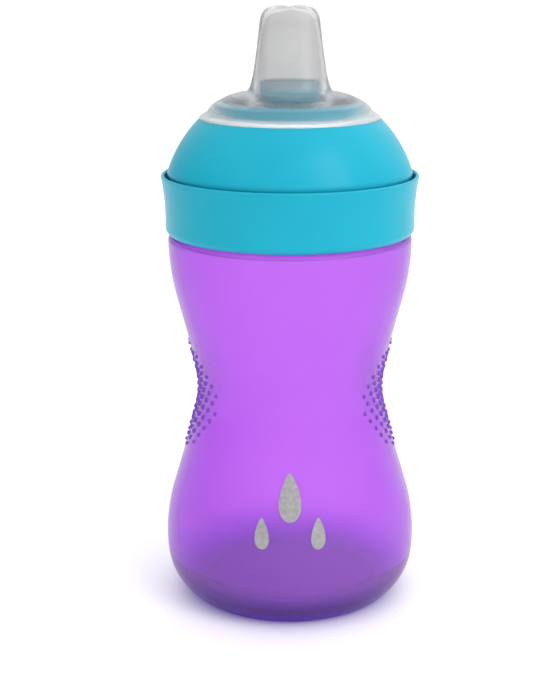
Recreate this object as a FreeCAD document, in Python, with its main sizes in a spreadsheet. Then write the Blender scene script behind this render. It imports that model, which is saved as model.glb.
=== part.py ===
import FreeCAD, Part
import math
import os
import Sketcher

# Sippy cup: hourglass cup, screw collar, spout dome, soft spout and lift valve.
#
# Every piece is drawn from the sizes in the sheet below. The origin is the centre of the base, +Z runs
# up the cup and -Y is the front. The lid (dome, seal, spout and valve) stands on the cup's axis.

SIZES = {
    # cup outline: each bulge or waist is a circle arc with its own widest or narrowest radius and height
    "base_radius": 30.6,
    "heel_height": 13.6,
    "belly_radius": 39.3,
    "belly_height": 18.9,
    "belly_arc": 54.0,
    "waist_radius": 28.3,
    "waist_height": 67.3,
    "waist_arc": 25.0,
    "shoulder_radius": 37.2,
    "shoulder_height": 113.6,
    "shoulder_arc": 69.3,
    "cup_wall": 1.8,
    "floor_height": 5.2,
    "base_recess": 2.4,
    "foot_width": 3.0,
    # neck and thread
    "shoulder_top": 115.3,
    "neck_radius": 33.0,
    "neck_bore": 31.2,
    "rim_height": 124.1,
    "thread_lead": 8.0,
    "thread_starts": 2.0,
    "ridge_height": 1.2,
    "ridge_width": 1.5,
    "neck_thread_base": 116.1,
    "neck_thread_rise": 5.6,
    "collar_thread_rise": 4.0,
    # collar
    "collar_base": 115.7,
    "collar_foot_radius": 37.9,
    "collar_lip_radius": 39.0,
    "collar_top": 133.5,
    "collar_bore": 34.9,
    "collar_flare": 70.0,
    "lip_inner_radius": 37.9,
    "moat_radius": 37.3,
    "shelf_base": 128.0,
    "shelf_top": 129.6,
    "shelf_bore": 33.7,
    "collar_edge": 1.2,
    "lip_edge": 0.45,
    # dome
    "dome_wall": 1.6,
    "dome_flange_radius": 34.4,
    "dome_flange_base": 126.0,
    "dome_flange_top": 127.6,
    "dome_neck_radius": 33.3,
    "dome_foot_radius": 35.9,
    "dome_foot_base": 130.0,
    "bead_radius": 36.8,
    "bead_base": 132.8,
    "bead_top": 135.0,
    "dome_arc": 40.0,
    "seat_radius": 27.2,
    "seat_height": 150.1,
    "riser_radius": 23.1,
    "riser_top_radius": 22.4,
    "riser_top_height": 153.9,
    "plate_bore": 17.0,
    "plate_height": 155.2,
    "vent_radius": 0.7,
    "vent_offset": 20.0,
    # seal
    "seal_inner_radius": 31.7,
    "seal_outer_radius": 34.0,
    "seal_height": 1.6,
    # spout
    "fit_gap": 0.05,
    "skin": 1.2,
    "plateau_radius": 17.9,
    "plateau_height": 156.5,
    "spout_base_height": 157.4,
    "spout_base_half_width": 12.0,
    "spout_base_half_depth": 9.4,
    "spout_waist_height": 160.4,
    "spout_waist_half_width": 11.2,
    "spout_waist_half_depth": 8.4,
    "spout_top_height": 183.2,
    "spout_top_half_width": 8.7,
    "spout_top_half_depth": 5.2,
    "crown_inset_x": 4.6,
    "crown_inset_y": 3.4,
    "crown_height": 4.6,
    "spout_wall": 1.5,
    "drink_hole_radius": 0.8,
    "drink_hole_spacing": 3.0,
    "lip_radius": 19.2,
    "lip_base": 151.4,
    "socket_radius": 11.8,
    "socket_bore": 10.2,
    "socket_base": 148.6,
    # valve
    "housing_radius": 9.9,
    "housing_bore": 8.4,
    "housing_base": 148.2,
    "housing_shoulder": 155.4,
    "housing_stop": 152.4,
    "stop_thickness": 1.2,
    "chimney_half_width": 8.9,
    "chimney_half_depth": 6.0,
    "chimney_top": 160.6,
    "chimney_wall": 1.2,
    "flow_hole_radius": 1.3,
    "flow_hole_circle": 4.2,
    "flow_hole_count": 5.0,
    "membrane_radius": 7.6,
    "membrane_thickness": 0.8,
    "membrane_base": 150.4,
    "membrane_hub_radius": 1.6,
    "retainer_flange_base": 146.6,
    "retainer_flange_top": 148.0,
    "retainer_plug_radius": 8.1,
    "retainer_top": 150.2,
    "retainer_bore": 5.4,
    "web_width": 1.6,
    "web_thickness": 1.4,
    # grip pips
    "pip_radius": 0.95,
    "pip_height": 0.8,
    "pip_row_step": 2.72,
    "pip_column_step": 8.4,
    "patch_height": 65.3,
    "patch_half_height": 17.4,
    "patch_half_angle": 40.0,
}


def new_sheet(doc):
    sheet = doc.addObject("Spreadsheet::Sheet", "Sizes")
    for row, (alias, value) in enumerate(SIZES.items(), start=1):
        sheet.set(f"A{row}", alias)
        sheet.set(f"B{row}", str(value))
        sheet.setAlias(f"B{row}", alias)
    doc.recompute()
    return sheet


doc = FreeCAD.newDocument("SippyCup")
sheet = new_sheet(doc)


def size(text):
    """Value of a size, or of a sum of sizes, written with the sheet's names."""
    return float(sheet.evalExpression(text))


def bound(text):
    """The same words as an expression that a sketch or feature can be tied to."""
    words = []
    for word in text.replace("(", " ( ").replace(")", " ) ").split():
        words.append(f"Sizes.{word}" if word in SIZES else word)
    return " ".join(words)


def new_body(label):
    body = doc.addObject("PartDesign::Body", label)
    body.Label = label
    return body


def plane_of(body, role):
    return next(feature for feature in body.Origin.OriginFeatures if feature.Role == role)


def new_sketch(body, name, role, lift=None):
    sketch = body.newObject("Sketcher::SketchObject", name)
    sketch.AttachmentSupport = (plane_of(body, role), [""])
    sketch.MapMode = "FlatFace"
    if lift:
        sketch.setExpression("AttachmentOffset.Base.z", bound(lift))
    return sketch


def fix(sketch, kind, geometry, point, value):
    """Pin one coordinate of a point: an expression is tied to the sheet, a number stays a number."""
    number = size(value) if isinstance(value, str) else value
    if abs(number) < 1e-9:
        axis = -2 if kind == "DistanceX" else -1
        sketch.addConstraint(Sketcher.Constraint("PointOnObject", geometry, point, axis))
        return
    index = sketch.addConstraint(Sketcher.Constraint(kind, -1, 1, geometry, point, number))
    if isinstance(value, str):
        sketch.setExpression(f"Constraints[{index}]", bound(value))


def position(corner):
    return FreeCAD.Vector(*[size(value) if isinstance(value, str) else value for value in corner[:2]], 0)


def arc_between(start, end, radius):
    """Arc of the given radius; a positive radius bulges to the right of the way from start to end."""
    chord = end - start
    sideways = FreeCAD.Vector(chord.y, -chord.x, 0).normalize()
    reach = abs(radius)
    sagitta = reach - math.sqrt(reach ** 2 - chord.Length ** 2 / 4)
    middle = (start + end) / 2 + sideways * math.copysign(sagitta, radius)
    return Part.Arc(start, middle, end)


def draw_outline(sketch, corners):
    """Closed outline of lines and arcs. A corner is (across, up) or (across, up, radius of the arc to it)."""
    places = [position(corner) for corner in corners]
    first_points = []
    for number, corner in enumerate(corners):
        start = places[number - 1]
        end = places[number]
        if len(corner) == 2:
            sketch.addGeometry(Part.LineSegment(start, end), False)
            first_points.append((1, 2))
            continue
        arc = arc_between(start, end, corner[2])
        index = sketch.addGeometry(arc, False)
        starts_here = sketch.getPoint(index, 1).distanceToPoint(start) < 1e-6
        first_points.append((1, 2) if starts_here else (2, 1))
        sketch.addConstraint(Sketcher.Constraint("Radius", index, abs(corner[2])))
    count = len(corners)
    for number, corner in enumerate(corners):
        after = (number + 1) % count
        end_point = first_points[number][1]
        sketch.addConstraint(
            Sketcher.Constraint("Coincident", number, end_point, after, first_points[after][0]))
        fix(sketch, "DistanceX", number, end_point, corner[0])
        fix(sketch, "DistanceY", number, end_point, corner[1])


def revolve(body, name, corners, kind="PartDesign::Revolution"):
    """Turn a closed outline (radius, height) all the way round the cup's axis."""
    sketch = new_sketch(body, f"{name}_outline", "XZ_Plane")
    draw_outline(sketch, corners)
    doc.recompute()
    feature = body.newObject(kind, name)
    feature.Profile = sketch
    feature.ReferenceAxis = (sketch, ["V_Axis"])
    feature.Angle = 360
    doc.recompute()
    return feature


def ridges(body, name, root, crest, base, rise):
    """Thread ridges: one tapered ridge wound up the axis, repeated for each start."""
    sketch = new_sketch(body, f"{name}_section", "XZ_Plane")
    draw_outline(sketch, [
        (root, base),
        (crest, f"{base} + ridge_width * 0.3"),
        (crest, f"{base} + ridge_width * 0.7"),
        (root, f"{base} + ridge_width"),
    ])
    doc.recompute()
    helix = body.newObject("PartDesign::AdditiveHelix", name)
    helix.Profile = sketch
    helix.ReferenceAxis = (sketch, ["V_Axis"])
    helix.Mode = "pitch-height-angle"
    helix.setExpression("Pitch", bound("thread_lead"))
    helix.setExpression("Height", bound(rise))
    doc.recompute()
    body.Tip = helix
    pattern = body.newObject("PartDesign::PolarPattern", f"{name}_starts")
    pattern.Originals = [helix]
    pattern.Axis = (plane_of(body, "Z_Axis"), [""])
    pattern.Angle = 360
    pattern.setExpression("Occurrences", bound("thread_starts"))
    body.Tip = pattern
    doc.recompute()
    return pattern


def tangent_points(bulge_centre, bulge_arc, waist_centre, waist_arc, turn):
    """Ends of the straight wall that touches a bulging arc and a waist arc."""
    across = waist_centre - bulge_centre
    reach = across.Length
    across.normalize()
    sideways = FreeCAD.Vector(-across.y, across.x, 0)
    lean = (bulge_arc + waist_arc) / reach
    normal = across * lean + sideways * math.copysign(math.sqrt(1 - lean ** 2), turn)
    return bulge_centre + normal * bulge_arc, waist_centre - normal * waist_arc


def cup_wall_curve(depth):
    """Corners of the cup's side from heel to shoulder, drawn at a depth inside its outer face."""
    belly_arc = size("belly_arc") - depth
    waist_arc = size("waist_arc") + depth
    shoulder_arc = size("shoulder_arc") - depth
    belly = FreeCAD.Vector(size("belly_radius - belly_arc"), size("belly_height"), 0)
    waist = FreeCAD.Vector(size("waist_radius + waist_arc"), size("waist_height"), 0)
    shoulder = FreeCAD.Vector(size("shoulder_radius - shoulder_arc"), size("shoulder_height"), 0)
    low_start, low_end = tangent_points(belly, belly_arc, waist, waist_arc, -1)
    high_end, high_start = tangent_points(shoulder, shoulder_arc, waist, waist_arc, 1)
    heel_up = size("heel_height")
    heel_out = belly.x + math.sqrt(belly_arc ** 2 - (heel_up - belly.y) ** 2)
    return [
        (heel_out, heel_up),
        (low_start.x, low_start.y, belly_arc),
        (low_end.x, low_end.y),
        (high_start.x, high_start.y, -waist_arc),
        (high_end.x, high_end.y),
        (size("shoulder_radius") - depth, size("shoulder_height"), shoulder_arc),
    ]


def heel_arc(start, belly_point):
    """Radius of the arc from the base's edge that runs smoothly into the belly."""
    centre = FreeCAD.Vector(size("belly_radius - belly_arc"), size("belly_height"), 0)
    inward = (centre - belly_point).normalize()
    chord = start - belly_point
    return chord.Length ** 2 / (2 * chord.dot(inward))


def backward(corners):
    """The same corners walked the other way, so each arc still joins the same two corners."""
    walked = []
    arcs = [corner[2] if len(corner) == 3 else None for corner in corners]
    for number in range(len(corners) - 1, -1, -1):
        follows = arcs[number + 1] if number + 1 < len(corners) else None
        place = corners[number][:2]
        walked.append(place + (-follows,) if follows else place)
    return walked


def make_cup_body():
    body = new_body("cup_body")
    outer = cup_wall_curve(0)
    inner = cup_wall_curve(size("cup_wall"))
    heel = heel_arc(FreeCAD.Vector(size("base_radius"), 0, 0), position(outer[0]))
    inner_heel = heel - size("cup_wall")
    outer[0] = outer[0] + (heel,)
    floor_edge = ("base_radius - foot_width + 1.6", "floor_height")
    corners = [
        (0.0, "floor_height"),
        (0.0, "base_recess"),
        ("base_radius - foot_width - 1.0", "base_recess"),
        ("base_radius - foot_width", 0.0),
        ("base_radius", 0.0),
    ]
    corners += outer
    corners += [
        ("shoulder_radius - 1.5", "shoulder_top", 1.9),
        ("neck_radius", "shoulder_top"),
        ("neck_radius", "rim_height - 0.4"),
        ("neck_radius - 0.4", "rim_height", 0.4),
        ("neck_bore + 0.4", "rim_height"),
        ("neck_bore", "rim_height - 0.4", 0.4),
        ("neck_bore", "shoulder_top + 1.0"),
    ]
    corners += backward(inner)
    corners += [floor_edge + (-inner_heel,)]
    revolve(body, "cup_wall_turned", corners)
    ridges(body, "neck_ridge", "neck_radius - 0.3", "neck_radius + ridge_height",
           "neck_thread_base", "neck_thread_rise")
    return body


def make_collar_ring():
    body = new_body("collar_ring")
    flare = size("collar_flare")
    revolve(body, "collar_turned", [
        ("collar_bore", "collar_base + 0.5"),
        ("collar_bore + 0.5", "collar_base"),
        ("collar_foot_radius - collar_edge", "collar_base"),
        ("collar_foot_radius", "collar_base + collar_edge * 1.5", 2.2),
        ("collar_lip_radius", "collar_top - lip_edge", -flare),
        ("collar_lip_radius - lip_edge", "collar_top", 0.5),
        ("lip_inner_radius", "collar_top - lip_edge", 0.6),
        ("moat_radius", "shelf_top + 0.5"),
        ("moat_radius - 0.5", "shelf_top", -0.6),
        ("shelf_bore", "shelf_top"),
        ("shelf_bore", "shelf_base"),
        ("collar_bore", "shelf_base"),
    ])
    ridges(body, "collar_ridge", "collar_bore + 0.3", "collar_bore - ridge_height",
                     "neck_thread_base + thread_lead / thread_starts / 2", "collar_thread_rise")
    return body


def make_spout_dome():
    body = new_body("spout_dome")
    arc = size("dome_arc")
    wall = size("dome_wall")
    revolve(body, "dome_turned", [
        ("dome_neck_radius - dome_wall", "dome_flange_base"),
        ("dome_flange_radius", "dome_flange_base"),
        ("dome_flange_radius", "dome_flange_top"),
        ("dome_neck_radius", "dome_flange_top"),
        ("dome_neck_radius", "dome_foot_base"),
        ("dome_foot_radius", "dome_foot_base"),
        ("bead_radius", "bead_base", -2.6),
        ("bead_radius", "bead_top", 3.0),
        ("seat_radius", "seat_height", arc),
        ("riser_radius", "seat_height"),
        ("riser_top_radius", "riser_top_height"),
        ("plate_bore", "plate_height"),
        ("plate_bore", "plate_height - dome_wall"),
        ("riser_top_radius - dome_wall", "riser_top_height - dome_wall"),
        ("riser_radius - dome_wall", "seat_height - dome_wall"),
        ("seat_radius - dome_wall * 0.8", "seat_height - dome_wall"),
        ("bead_radius - dome_wall * 1.2", "bead_top", -(arc - wall)),
        ("dome_neck_radius - dome_wall", "dome_foot_base - 0.6"),
    ])
    vent = new_sketch(body, "vent_hole_circle", "XY_Plane")
    index = vent.addGeometry(Part.Circle(FreeCAD.Vector(0, size("vent_offset"), 0),
                                         FreeCAD.Vector(0, 0, 1), size("vent_radius")), False)
    fix(vent, "DistanceX", index, 3, 0.0)
    fix(vent, "DistanceY", index, 3, "vent_offset")
    radius = vent.addConstraint(Sketcher.Constraint("Radius", index, size("vent_radius")))
    vent.setExpression(f"Constraints[{radius}]", bound("vent_radius"))
    doc.recompute()
    pocket = body.newObject("PartDesign::Pocket", "vent_hole")
    pocket.Profile = vent
    pocket.Type = "ThroughAll"
    pocket.Reversed = True
    doc.recompute()
    return body


def make_rim_seal():
    body = new_body("rim_seal")
    revolve(body, "seal_turned", [
        ("seal_inner_radius", "dome_flange_base - seal_height + 0.4"),
        ("seal_inner_radius + 0.4", "dome_flange_base - seal_height", 0.4),
        ("seal_outer_radius - 0.4", "dome_flange_base - seal_height"),
        ("seal_outer_radius", "dome_flange_base - seal_height + 0.4", 0.4),
        ("seal_outer_radius", "dome_flange_base"),
        ("seal_inner_radius", "dome_flange_base"),
    ])
    return body


def ellipse_sketch(body, name, half_width, half_depth, lift):
    """Oval section that is wider from side to side than from front to back."""
    sketch = new_sketch(body, name, "XY_Plane", lift)
    oval = Part.Ellipse(FreeCAD.Vector(0, 0, 0), size(half_width), size(half_depth))
    index = sketch.addGeometry(oval, False)
    sketch.exposeInternalGeometry(index)
    sketch.addConstraint(Sketcher.Constraint("Coincident", index, 3, -1, 1))
    sketch.addConstraint(Sketcher.Constraint("Horizontal", index + 1))
    width = sketch.addConstraint(Sketcher.Constraint("Distance", index + 1, 2 * size(half_width)))
    sketch.setExpression(f"Constraints[{width}]", bound(f"( {half_width} ) * 2"))
    depth = sketch.addConstraint(Sketcher.Constraint("Distance", index + 2, 2 * size(half_depth)))
    sketch.setExpression(f"Constraints[{depth}]", bound(f"( {half_depth} ) * 2"))
    return sketch


def oval_loft(body, name, kind, sections):
    """Loft through oval sections, each (half width, half depth, height)."""
    sketches = [ellipse_sketch(body, f"{name}_oval_{number}", *section)
                for number, section in enumerate(sections, start=1)]
    doc.recompute()
    loft = body.newObject(kind, name)
    loft.Profile = sketches[0]
    loft.Sections = sketches[1:]
    loft.Ruled = True
    doc.recompute()
    return loft


def circles_pocket(body, name, centres, radius, lift, reach):
    """Round holes cut upward from a height, each centre (across, along)."""
    sketch = new_sketch(body, f"{name}_circles", "XY_Plane", lift)
    for across, along in centres:
        place = FreeCAD.Vector(across, along, 0)
        index = sketch.addGeometry(Part.Circle(place, FreeCAD.Vector(0, 0, 1), size(radius)), False)
        fix(sketch, "DistanceX", index, 3, across)
        fix(sketch, "DistanceY", index, 3, along)
        row = sketch.addConstraint(Sketcher.Constraint("Radius", index, size(radius)))
        sketch.setExpression(f"Constraints[{row}]", bound(radius))
    doc.recompute()
    pocket = body.newObject("PartDesign::Pocket", name)
    pocket.Profile = sketch
    pocket.Reversed = True
    pocket.setExpression("Length", bound(reach))
    doc.recompute()
    return pocket


def make_spout():
    body = new_body("spout")
    revolve(body, "flange_turned", [
        ("seat_radius", "seat_height + fit_gap"),
        ("seat_radius", "seat_height + skin * 0.5"),
        ("seat_radius - 0.6", "seat_height + skin", 0.7),
        ("riser_radius + skin + 0.3", "seat_height + skin"),
        ("riser_top_radius + skin", "riser_top_height + skin"),
        ("plateau_radius", "plateau_height"),
        ("spout_base_half_width + 0.6", "spout_base_height"),
        ("spout_base_half_width - 1.0", "spout_base_height + 0.4"),
        (0.0, "spout_base_height + 0.4"),
        (0.0, "socket_base"),
        ("socket_radius", "socket_base"),
        ("socket_radius", "lip_base"),
        ("lip_radius", "lip_base"),
        ("lip_radius", "plate_height - dome_wall - 0.75"),
        ("plate_bore - fit_gap", "plate_height - dome_wall - fit_gap * 2"),
        ("plate_bore - fit_gap", "plate_height + fit_gap"),
        ("riser_top_radius + fit_gap * 2", "riser_top_height + fit_gap"),
        ("riser_radius + fit_gap * 2", "seat_height + fit_gap"),
    ])
    sections = [
        ("spout_base_half_width", "spout_base_half_depth", "spout_base_height"),
        ("spout_waist_half_width", "spout_waist_half_depth", "spout_waist_height"),
    ]
    for angle in (0, 30, 60, 90):
        inward = round(1 - math.cos(math.radians(angle)), 3)
        below = round(1 - math.sin(math.radians(angle)), 3)
        sections.append((f"spout_top_half_width - crown_inset_x * {inward}",
                         f"spout_top_half_depth - crown_inset_y * {inward}",
                         f"spout_top_height - crown_height * {below}"))
    oval_loft(body, "spout_tube", "PartDesign::AdditiveLoft", sections)
    oval_loft(body, "spout_channel", "PartDesign::SubtractiveLoft", [
        ("spout_waist_half_width - spout_wall", "spout_waist_half_depth - spout_wall",
         "housing_shoulder"),
        ("spout_waist_half_width - spout_wall", "spout_waist_half_depth - spout_wall",
         "spout_waist_height"),
        ("spout_top_half_width - spout_wall", "spout_top_half_depth - spout_wall",
         "spout_top_height - crown_height"),
        ("spout_top_half_width - crown_inset_x", "spout_top_half_depth - crown_inset_y",
         "spout_top_height - spout_wall"),
    ])
    circles_pocket(body, "valve_socket", [(0.0, 0.0)], "socket_bore", "socket_base - 1",
                   "housing_shoulder - socket_base + 1.6")
    spacing = size("drink_hole_spacing")
    circles_pocket(body, "drink_holes", [(-spacing, 0.0), (0.0, 0.0), (spacing, 0.0)],
                   "drink_hole_radius", "spout_top_height - spout_wall * 2", "spout_wall * 4")
    return body


def make_valve_housing():
    body = new_body("valve_housing")
    revolve(body, "drum_turned", [
        ("housing_bore", "housing_base"),
        ("housing_radius", "housing_base"),
        ("housing_radius", "housing_shoulder - 0.6"),
        ("housing_radius - 0.6", "housing_shoulder", 0.6),
        (0.0, "housing_shoulder"),
        (0.0, "housing_stop"),
        ("housing_bore", "housing_stop"),
    ])
    oval_loft(body, "chimney", "PartDesign::AdditiveLoft", [
        ("chimney_half_width", "chimney_half_depth", "housing_shoulder"),
        ("chimney_half_width", "chimney_half_depth", "chimney_top"),
    ])
    oval_loft(body, "chimney_bore", "PartDesign::SubtractiveLoft", [
        ("chimney_half_width - chimney_wall", "chimney_half_depth - chimney_wall",
         "housing_stop + stop_thickness"),
        ("chimney_half_width - chimney_wall", "chimney_half_depth - chimney_wall",
         "chimney_top + 1"),
    ])
    count = int(size("flow_hole_count"))
    circle = size("flow_hole_circle")
    turns = [math.radians(360 * number / count) for number in range(count)]
    centres = [(circle * math.sin(turn), circle * math.cos(turn)) for turn in turns]
    circles_pocket(body, "flow_holes", centres, "flow_hole_radius", "housing_stop - 1",
                   "stop_thickness + 2")
    return body


def make_valve_membrane():
    body = new_body("valve_membrane")
    revolve(body, "membrane_turned", [
        (0.0, "membrane_base"),
        ("membrane_radius", "membrane_base"),
        ("membrane_radius", "membrane_base + membrane_thickness * 0.6"),
        ("membrane_radius - 0.3", "membrane_base + membrane_thickness * 0.9"),
        ("membrane_hub_radius + 0.6", "membrane_base + membrane_thickness * 0.8"),
        ("membrane_hub_radius", "membrane_base + membrane_thickness"),
        (0.0, "membrane_base + membrane_thickness"),
    ])
    return body


def make_valve_retainer():
    body = new_body("valve_retainer")
    revolve(body, "retainer_turned", [
        ("retainer_bore", "retainer_flange_base"),
        ("housing_radius - 0.5", "retainer_flange_base"),
        ("housing_radius", "retainer_flange_base + 0.5", 0.5),
        ("housing_radius", "retainer_flange_top"),
        ("retainer_plug_radius", "retainer_flange_top"),
        ("retainer_plug_radius", "retainer_top - 0.3"),
        ("retainer_plug_radius - 0.3", "retainer_top"),
        ("retainer_bore", "retainer_top"),
    ])
    for name, across, along in [("web_across", "retainer_bore + 0.5", "web_width / 2"),
                                ("web_along", "web_width / 2", "retainer_bore + 0.5")]:
        sketch = new_sketch(body, f"{name}_outline", "XY_Plane", "retainer_flange_base")
        draw_outline(sketch, [(across, along), (f"0 - ( {across} )", along),
                              (f"0 - ( {across} )", f"0 - ( {along} )"), (across, f"0 - ( {along} )")])
        doc.recompute()
        pad = body.newObject("PartDesign::Pad", name)
        pad.Profile = sketch
        pad.setExpression("Length", bound("web_thickness"))
        doc.recompute()
        body.Tip = pad
    return body


def wall_radius(height):
    """Outer radius of the cup at a height between its belly and its shoulder."""
    curve = cup_wall_curve(0)
    low_start, low_end, high_start, high_end = [corner[:2] for corner in curve[1:5]]
    if height < low_start[1]:
        return size("belly_radius - belly_arc") + math.sqrt(
            size("belly_arc") ** 2 - (height - size("belly_height")) ** 2)
    if height < low_end[1]:
        share = (height - low_start[1]) / (low_end[1] - low_start[1])
        return low_start[0] + share * (low_end[0] - low_start[0])
    if height < high_start[1]:
        return size("waist_radius + waist_arc") - math.sqrt(
            size("waist_arc") ** 2 - (height - size("waist_height")) ** 2)
    share = (height - high_start[1]) / (high_end[1] - high_start[1])
    return high_start[0] + share * (high_end[0] - high_start[0])


def grip_pip(height, turn, radius, proud):
    """Low round stud that stands square on the cup's wall."""
    step = 0.05
    slope = (wall_radius(height + step) - wall_radius(height - step)) / (2 * step)
    outward = FreeCAD.Vector(1, 0, -slope).normalize()
    foot = FreeCAD.Vector(wall_radius(height), 0, height) + outward * 0.02
    stud = Part.makeCone(radius, radius * 0.72, proud, foot, outward)
    stud = stud.makeFillet(proud * 0.45, [stud.Edges[0]])
    stud.rotate(FreeCAD.Vector(0, 0, 0), FreeCAD.Vector(0, 0, 1), turn)
    return stud


def make_grip_pips(label, facing):
    """Staggered patch of studs that shrink towards the patch's edge."""
    half_height = size("patch_half_height")
    half_angle = size("patch_half_angle")
    row_step = size("pip_row_step")
    column_step = size("pip_column_step")
    rows = int(half_height / row_step)
    columns = int(half_angle / column_step) + 1
    studs = []
    for row in range(-rows, rows + 1):
        shift = 0.5 * column_step * (row % 2)
        for column in range(-columns, columns + 1):
            turn = column * column_step + shift
            spread = math.hypot(row * row_step / half_height, turn / half_angle)
            if spread > 1.0:
                continue
            shrink = 1.0 - 0.35 * spread ** 2
            height = size("patch_height") + row * row_step
            studs.append(grip_pip(height, facing + turn, size("pip_radius") * shrink,
                                  size("pip_height") * shrink))
    patch = doc.addObject("Part::Feature", label)
    patch.Label = label
    patch.Shape = Part.makeCompound(studs)
    return patch


def check_features():
    for item in doc.Objects:
        if "Invalid" in item.State or "Error" in item.State:
            raise RuntimeError(f"{item.Name}: {item.State}")


def write_part(item):
    if item.Shape.isNull() or not item.Shape.isValid():
        raise RuntimeError(f"{item.Label} has no valid shape")
    item.Shape.exportStep(f"parts/{item.Label}.step")
    bounds = item.Shape.BoundBox
    print(f"{item.Label}: {len(item.Shape.Solids)} solid(s), {item.Shape.Volume:.0f} mm3, "
          f"z {bounds.ZMin:.2f} to {bounds.ZMax:.2f}, width {bounds.XLength:.2f}")


pieces = [
    make_cup_body(),
    make_collar_ring(),
    make_spout_dome(),
    make_rim_seal(),
    make_spout(),
    make_valve_housing(),
    make_valve_membrane(),
    make_valve_retainer(),
    make_grip_pips("right_grip_pips", 0),
    make_grip_pips("left_grip_pips", 180),
]
doc.recompute()
check_features()
os.makedirs("parts", exist_ok=True)
for piece in pieces:
    write_part(piece)
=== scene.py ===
import math
import bmesh
import bpy
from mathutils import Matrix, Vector


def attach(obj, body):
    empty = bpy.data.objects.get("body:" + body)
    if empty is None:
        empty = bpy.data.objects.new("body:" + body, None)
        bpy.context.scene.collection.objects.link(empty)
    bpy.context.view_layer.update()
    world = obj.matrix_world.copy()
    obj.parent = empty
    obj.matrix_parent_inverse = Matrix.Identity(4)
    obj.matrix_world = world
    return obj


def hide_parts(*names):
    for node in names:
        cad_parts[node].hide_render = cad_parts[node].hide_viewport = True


# Looks for the sippy cup: plastics, silicone, the soft spout's smooth skin and a small printed motif.

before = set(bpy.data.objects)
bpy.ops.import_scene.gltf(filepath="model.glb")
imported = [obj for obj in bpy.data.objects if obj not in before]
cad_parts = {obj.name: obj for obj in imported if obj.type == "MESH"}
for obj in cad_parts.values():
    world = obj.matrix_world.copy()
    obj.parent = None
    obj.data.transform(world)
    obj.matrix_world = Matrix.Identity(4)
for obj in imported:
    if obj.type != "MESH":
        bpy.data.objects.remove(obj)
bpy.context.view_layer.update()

MM = 0.001
SEGMENTS = 128

# ---------------------------------------------------------------- materials


class Nodes:
    """A new node material with short calls for the nodes it is built from."""

    def __init__(self, name):
        self.material = bpy.data.materials.new(name)
        self.material.use_nodes = True
        self.tree = self.material.node_tree
        self.shader = self.tree.nodes["Principled BSDF"]
        self.place = self.tree.nodes.new("ShaderNodeTexCoord").outputs["Object"]

    def set(self, **values):
        for name, value in values.items():
            self.shader.inputs[name.replace("_", " ")].default_value = value
        return self

    def link(self, output, target):
        self.tree.links.new(output, target)
        return output

    def noise(self, scale, detail=3.0, roughness=0.5):
        node = self.tree.nodes.new("ShaderNodeTexNoise")
        node.inputs["Scale"].default_value = scale
        node.inputs["Detail"].default_value = detail
        node.inputs["Roughness"].default_value = roughness
        self.link(self.place, node.inputs["Vector"])
        return node.outputs["Fac"]

    def ramp(self, factor, stops):
        node = self.tree.nodes.new("ShaderNodeValToRGB")
        band = node.color_ramp
        while len(band.elements) < len(stops):
            band.elements.new(0.5)
        for element, (position, colour) in zip(band.elements, stops):
            element.position = position
            element.color = (*colour, 1.0)
        self.link(factor, node.inputs["Fac"])
        return node.outputs["Color"]

    def axis(self, letter):
        node = self.tree.nodes.new("ShaderNodeSeparateXYZ")
        self.link(self.place, node.inputs["Vector"])
        return node.outputs[letter]

    def between(self, value, low, high):
        """0 at low, 1 at high, straight between."""
        node = self.tree.nodes.new("ShaderNodeMapRange")
        node.inputs["From Min"].default_value = low
        node.inputs["From Max"].default_value = high
        self.link(value, node.inputs["Value"])
        return node.outputs["Result"]

    def mix(self, factor, first, second):
        """The first colour where the factor is 0, the second where it is 1."""
        node = self.tree.nodes.new("ShaderNodeMix")
        node.data_type = "RGBA"
        for name, value in (("Factor", factor), ("A", first), ("B", second)):
            socket = next(s for s in node.inputs
                          if s.name == name and s.type == ("VALUE" if name == "Factor" else "RGBA"))
            if isinstance(value, tuple):
                socket.default_value = (*value, 1.0)
            else:
                self.link(value, socket)
        return next(s for s in node.outputs if s.type == "RGBA")

    def colour(self, output):
        self.link(output, self.shader.inputs["Base Color"])
        return self

    def rough(self, low, high, scale):
        """Roughness that wanders a little, as moulded and handled plastic does."""
        node = self.tree.nodes.new("ShaderNodeMapRange")
        node.inputs["To Min"].default_value = low
        node.inputs["To Max"].default_value = high
        self.link(self.noise(scale, 4.0), node.inputs["Value"])
        self.link(node.outputs["Result"], self.shader.inputs["Roughness"])
        return self

    def bump(self, height, strength, distance):
        node = self.tree.nodes.new("ShaderNodeBump")
        node.inputs["Strength"].default_value = strength
        node.inputs["Distance"].default_value = distance
        self.link(height, node.inputs["Height"])
        self.link(node.outputs["Normal"], self.shader.inputs["Normal"])
        return self


def cup_plastic():
    """Frosted purple polypropylene: it takes more colour the further light goes through its wall; the
    deeper purple near its base is painted shade.
    """
    n = Nodes("frosted_purple")
    body = n.ramp(n.noise(22.0), [(0.3, (0.83, 0.40, 0.97)), (0.7, (0.87, 0.44, 0.98))])
    # Darker towards the bottom: painted shade of the thick base and the shadow under it, mixed into the
    # base colour.
    heel_painted_shade = n.between(n.axis("Z"), 0.012, 0.002)
    n.colour(n.mix(heel_painted_shade, body, (0.36, 0.07, 0.75)))
    n.rough(0.18, 0.26, 60.0)
    n.bump(n.noise(900.0, 2.0), 0.05, 0.0002)
    depth = n.tree.nodes.new("ShaderNodeVolumeAbsorption")
    depth.inputs["Color"].default_value = (0.50, 0.10, 0.88, 1.0)
    depth.inputs["Density"].default_value = 200.0
    n.link(depth.outputs["Volume"], n.tree.nodes["Material Output"].inputs["Volume"])
    return n.set(IOR=1.22, Transmission_Weight=0.86, Specular_IOR_Level=0.0, Coat_Weight=0.06,
                 Coat_IOR=1.3, Coat_Roughness=0.1).material


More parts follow.
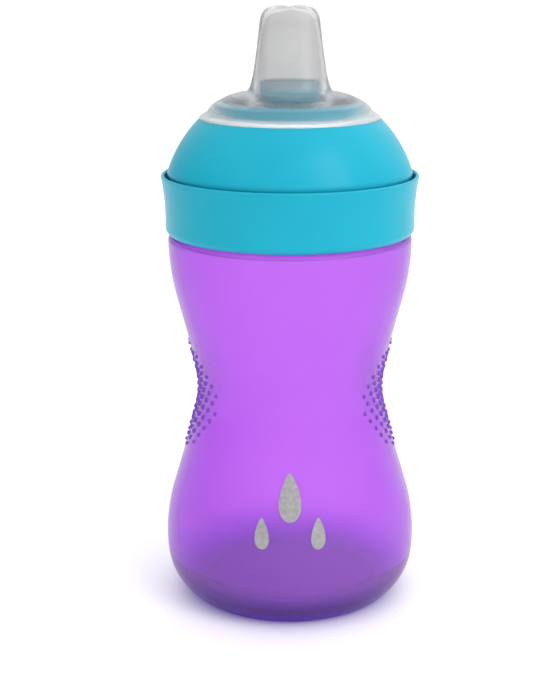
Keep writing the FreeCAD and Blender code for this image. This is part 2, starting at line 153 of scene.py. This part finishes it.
def teal_plastic(name, deep, bright):
    """Opaque satin plastic, slightly uneven, with light that sinks in a little."""
    n = Nodes(name)
    n.colour(n.ramp(n.noise(18.0), [(0.3, deep), (0.7, bright)]))
    n.rough(0.26, 0.34, 70.0)
    n.bump(n.noise(1100.0, 2.0), 0.05, 0.00015)
    n.set(IOR=1.33, Specular_IOR_Level=0.3, Subsurface_Weight=0.12, Subsurface_Scale=0.004)
    return n.material


def silicone():
    """Cloudy silicone: clear where it is a thin skin on the dome, whiter at its rim and in the spout."""
    n = Nodes("cloudy_silicone")
    grey = n.ramp(n.noise(40.0), [(0.3, (0.74, 0.74, 0.74)), (0.7, (0.80, 0.80, 0.80))])
    skin = n.mix(n.between(n.axis("Z"), 0.158, 0.161), (0.93, 0.97, 0.98), grey)
    n.colour(skin)
    n.rough(0.20, 0.28, 90.0)
    clear = n.ramp(n.between(n.axis("Z"), 0.150, 0.160), [
        (0.10, (0.70,) * 3), (0.20, (0.98,) * 3), (0.66, (0.98,) * 3), (1.0, (0.80,) * 3)])
    n.link(clear, n.shader.inputs["Transmission Weight"])
    n.bump(n.noise(700.0, 3.0), 0.08, 0.0002)
    return n.set(IOR=1.33, Coat_Weight=0.1, Coat_Roughness=0.2).material


def grip_rubber():
    n = Nodes("grip_rubber")
    n.colour(n.ramp(n.noise(60.0), [(0.3, (0.26, 0.06, 0.66)), (0.7, (0.31, 0.085, 0.72))]))
    n.rough(0.38, 0.5, 200.0)
    n.bump(n.noise(1500.0, 2.0), 0.1, 0.0001)
    return n.set(IOR=1.5, Transmission_Weight=0.45).material


def soft_white(name):
    n = Nodes(name)
    n.colour(n.ramp(n.noise(50.0), [(0.3, (0.72, 0.76, 0.76)), (0.7, (0.82, 0.85, 0.85))]))
    n.rough(0.35, 0.45, 120.0)
    n.bump(n.noise(900.0, 2.0), 0.1, 0.0001)
    return n.set(IOR=1.41, Subsurface_Weight=0.3, Subsurface_Scale=0.002).material


def print_ink():
    """Thin silver-grey ink with a fine pigment grain."""
    n = Nodes("silver_ink")
    n.colour(n.ramp(n.noise(900.0, 4.0), [(0.3, (0.27, 0.26, 0.27)), (0.7, (0.36, 0.35, 0.36))]))
    n.rough(0.35, 0.5, 500.0)
    n.bump(n.noise(2500.0, 2.0), 0.1, 0.00005)
    return n.set(Metallic=0.25).material


def paint(node, material):
    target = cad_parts[node]
    target.data.materials.clear()
    target.data.materials.append(material)


TEAL_DEEP = (0.004, 0.33, 0.46)
TEAL_BRIGHT = (0.012, 0.37, 0.50)
rubber = grip_rubber()
white = soft_white("white_silicone")
paint("cup_body", cup_plastic())
paint("left_grip_pips", rubber)
paint("right_grip_pips", rubber)
paint("collar_ring", teal_plastic("teal_collar", TEAL_DEEP, TEAL_BRIGHT))
paint("spout_dome", teal_plastic("teal_dome", TEAL_DEEP, TEAL_BRIGHT))
paint("valve_housing", teal_plastic("teal_valve", TEAL_DEEP, TEAL_BRIGHT))
paint("valve_retainer", teal_plastic("teal_retainer", TEAL_DEEP, TEAL_BRIGHT))
paint("rim_seal", white)
paint("valve_membrane", white)

# ---------------------------------------------------------------- soft spout

# Each ring is an ellipse given as (half width, half depth, height) in millimetres.
FLANGE = [
    (27.2, 27.2, 150.15), (27.2, 27.2, 150.55), (27.0, 27.0, 150.8), (26.5, 26.5, 151.0),
    (25.4, 25.4, 151.7), (25.0, 25.0, 151.85), (24.8, 24.8, 152.2), (24.2, 24.2, 153.1),
    (23.3, 23.3, 154.0), (22.3, 22.3, 154.75), (21.2, 21.2, 155.3), (20.9, 20.9, 155.38),
    (20.6, 20.6, 155.6), (19.6, 19.6, 156.15), (18.4, 18.4, 156.65), (17.2, 17.2, 157.0),
    (16.9, 16.9, 157.06), (16.4, 16.2, 157.24), (15.0, 14.3, 157.5), (13.9, 12.6, 157.7),
]
TUBE = [
    (13.1, 11.4, 157.95), (12.65, 10.5, 158.3), (12.3, 9.95, 158.8), (12.0, 9.5, 159.5),
    (11.5, 8.85, 161.0), (11.0, 8.2, 163.2), (10.35, 7.4, 167.4), (9.8, 6.7, 171.4),
    (9.35, 6.1, 175.2), (9.0, 5.6, 178.2),
]
CROWN = [
    (8.75, 5.35, 179.5), (8.35, 5.05, 180.6), (7.7, 4.55, 181.6), (6.85, 3.95, 182.35),
    (5.7, 3.2, 182.85), (4.3, 2.4, 183.1), (2.8, 1.6, 183.17), (1.3, 0.8, 183.17),
    (0.3, 0.2, 183.17),
]
CHANNEL = [
    (0.3, 0.2, 181.6), (2.5, 1.2, 181.55), (4.4, 2.0, 181.2), (6.2, 3.0, 180.2),
    (7.2, 3.8, 178.6), (7.8, 4.5, 175.2), (8.6, 5.5, 169.0), (9.3, 6.4, 163.2),
    (9.7, 6.9, 160.4), (9.7, 6.9, 156.2), (10.2, 10.2, 156.0), (10.2, 10.2, 148.8),
    (10.4, 10.4, 148.6), (11.6, 11.6, 148.6), (11.8, 11.8, 148.8), (11.8, 11.8, 151.4),
    (19.0, 19.0, 151.4), (19.2, 19.2, 151.6), (19.2, 19.2, 152.8), (16.95, 16.95, 153.5),
    (16.95, 16.95, 155.24), (22.5, 22.5, 153.95), (23.2, 23.2, 150.15),
]


def crown_dip(across, height):
    """The height of a crown point: it sinks a little in the middle and at two places beside it."""
    sunk = 0.45 * math.exp(-(across / 1.7) ** 2) + 0.3 * math.exp(-((abs(across) - 6.2) / 1.6) ** 2)
    share = max(0.0, min(1.0, (height - 182.0) / 1.0))
    return height - sunk * share


def ring_of_points(half_width, half_depth, height):
    points = []
    for step in range(SEGMENTS):
        turn = 2 * math.pi * step / SEGMENTS
        across = half_width * math.cos(turn)
        along = half_depth * math.sin(turn)
        points.append((across * MM, along * MM, crown_dip(across, height) * MM))
    return points


def skin_rings(mesh, rings, joined_to=None):
    """Vertices of each ring and the bands between them; returns the first and last ring."""
    before = joined_to
    first = None
    for ring in rings:
        here = [mesh.verts.new(point) for point in ring_of_points(*ring)]
        first = first or here
        if before:
            bridge(mesh, before, here)
        before = here
    return first, before


def bridge(mesh, lower, upper):
    for step in range(SEGMENTS):
        after = (step + 1) % SEGMENTS
        mesh.faces.new((lower[step], lower[after], upper[after], upper[step]))


def new_piece(name, mesh, material):
    bmesh.ops.recalc_face_normals(mesh, faces=mesh.faces)
    data = bpy.data.meshes.new(name)
    mesh.to_mesh(data)
    mesh.free()
    for face in data.polygons:
        face.use_smooth = True
    data.materials.append(material)
    piece = bpy.data.objects.new(name, data)
    bpy.context.scene.collection.objects.link(piece)
    return piece


def make_spout():
    mesh = bmesh.new()
    start, top = skin_rings(mesh, FLANGE + TUBE + CROWN)
    mesh.faces.new(top)
    inner_top, end = skin_rings(mesh, CHANNEL)
    mesh.faces.new(inner_top)
    bridge(mesh, end, start)
    spout = new_piece("soft_spout", mesh, silicone())
    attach(spout, "lid")
    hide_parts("spout")


make_spout()

# ---------------------------------------------------------------- printed motif


BELLY_RADIUS = 39.3
BELLY_HEIGHT = 18.9
BELLY_ARC = 54.0
# The straight wall runs from the belly's arc to the waist's; each end is (height, radius).
WALL_LOW = (34.34, 37.05)
WALL_HIGH = (60.15, 29.34)
PRINT_LIFT = 0.12


def wall_radius(height):
    """Outer radius of the cup at a height, in millimetres: the belly's arc, then the straight wall."""
    if height < WALL_LOW[0]:
        return BELLY_RADIUS - BELLY_ARC + math.sqrt(BELLY_ARC ** 2 - (height - BELLY_HEIGHT) ** 2)
    slope = (WALL_LOW[1] - WALL_HIGH[1]) / (WALL_HIGH[0] - WALL_LOW[0])
    return WALL_LOW[1] - (height - WALL_LOW[0]) * slope


def on_wall(across, height):
    """A point of a flat drawing wrapped onto the front of the cup."""
    reach = wall_radius(height) + PRINT_LIFT
    turn = across / reach
    return (reach * math.sin(turn) * MM, -reach * math.cos(turn) * MM, height * MM)


def wrap_patch(mesh, outline):
    """Fill an outline, given as a function of a turn, with rings that follow the wall."""
    steps = 48
    rings = 6
    rows = []
    for row in range(rings + 1):
        share = row / rings
        points = []
        for step in range(steps):
            across, height = outline(2 * math.pi * step / steps, share)
            points.append(mesh.verts.new(on_wall(across, height)))
        rows.append(points)
    for lower, upper in zip(rows, rows[1:]):
        for step in range(steps):
            after = (step + 1) % steps
            mesh.faces.new((lower[step], lower[after], upper[after], upper[step]))
    bmesh.ops.remove_doubles(mesh, verts=rows[0], dist=1e-7)


def drop(centre, height, size):
    """A rounded drop with its tip up."""
    def outline(turn, share):
        pinch = (1 - math.sin(turn)) / 2
        across = math.cos(turn) * (0.35 + 0.65 * pinch ** 0.8) * size * 0.62
        up = math.sin(turn) * size
        return centre + across * share, height + up * share
    return outline


def make_print():
    """One large drop above two small ones."""
    mesh = bmesh.new()
    wrap_patch(mesh, drop(0.0, 42.0, 7.0))
    wrap_patch(mesh, drop(-8.5, 31.5, 4.6))
    wrap_patch(mesh, drop(8.5, 31.5, 4.6))
    motif = new_piece("front_motif", mesh, print_ink())
    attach(motif, "cup")


make_print()

# ---------------------------------------------------------------- stage, light, camera


def make_floor():
    mesh = bmesh.new()
    bmesh.ops.create_grid(mesh, x_segments=4, y_segments=4, size=6.0)
    n = Nodes("pale_floor")
    n.colour(n.ramp(n.noise(8.0), [(0.3, (0.93, 0.93, 0.935)), (0.7, (0.95, 0.95, 0.95))]))
    n.rough(0.5, 0.6, 30.0)
    floor = new_piece("floor", mesh, n.material)


LIGHT_AIM = (0, 0, 0.1)
SKY_LOW = 0.20
SKY_HIGH = 1.60
SKY_AHEAD = 0.55
SKY_SIDE = 0.22


def area_light(name, place, width, height, power):
    data = bpy.data.lights.new(name, "AREA")
    data.shape = "RECTANGLE"
    data.size = width
    data.size_y = height
    data.energy = power
    light = bpy.data.objects.new(name, data)
    light.location = place
    direction = [a - b for a, b in zip(LIGHT_AIM, place)]
    light.rotation_euler = Vector(direction).to_track_quat("-Z", "Y").to_euler()
    bpy.context.scene.collection.objects.link(light)


def world_maths(tree, operation, *values):
    node = tree.nodes.new("ShaderNodeMath")
    node.operation = operation
    for socket, value in zip(node.inputs, values):
        if isinstance(value, float):
            socket.default_value = value
        else:
            tree.links.new(value, socket)
    return node.outputs["Value"]


def make_light():
    """A white room, brighter above, in front and behind, and a little brighter on the right."""
    world = bpy.data.worlds.new("studio")
    world.use_nodes = True
    tree = world.node_tree
    tree.nodes["Background"].inputs["Color"].default_value = (1.0, 1.0, 1.0, 1.0)
    place = tree.nodes.new("ShaderNodeTexCoord")
    axes = tree.nodes.new("ShaderNodeSeparateXYZ")
    tree.links.new(place.outputs["Generated"], axes.inputs["Vector"])
    height = tree.nodes.new("ShaderNodeMapRange")
    height.inputs["To Min"].default_value = SKY_LOW
    height.inputs["To Max"].default_value = SKY_HIGH
    tree.links.new(axes.outputs["Z"], height.inputs["Value"])
    ahead = world_maths(tree, "MULTIPLY", axes.outputs["Y"], axes.outputs["Y"])
    deep = world_maths(tree, "MULTIPLY_ADD", ahead, SKY_AHEAD, height.outputs["Result"])
    sideways = world_maths(tree, "MULTIPLY_ADD", axes.outputs["X"], SKY_SIDE, deep)
    tree.links.new(sideways, tree.nodes["Background"].inputs["Strength"])
    bpy.context.scene.world = world
    bpy.context.scene.view_settings.view_transform = "Standard"
    area_light("key", (0.50, -0.50, 0.60), 0.35, 0.6, 2.2)
    area_light("fill", (-0.55, -0.45, 0.50), 0.06, 0.6, 0.25)


LOOKING_DOWN = 15.29


def make_camera():
    data = bpy.data.cameras.new("camera")
    data.sensor_width = 36.0
    data.lens = 76.54
    data.shift_x = -10 / 700
    camera = bpy.data.objects.new("camera", data)
    camera.location = (0.0, -0.4485, 0.20056)
    camera.rotation_euler = (math.radians(90 - LOOKING_DOWN), 0.0, 0.0)
    bpy.context.scene.collection.objects.link(camera)
    bpy.context.scene.camera = camera


make_floor()
make_light()
make_camera()
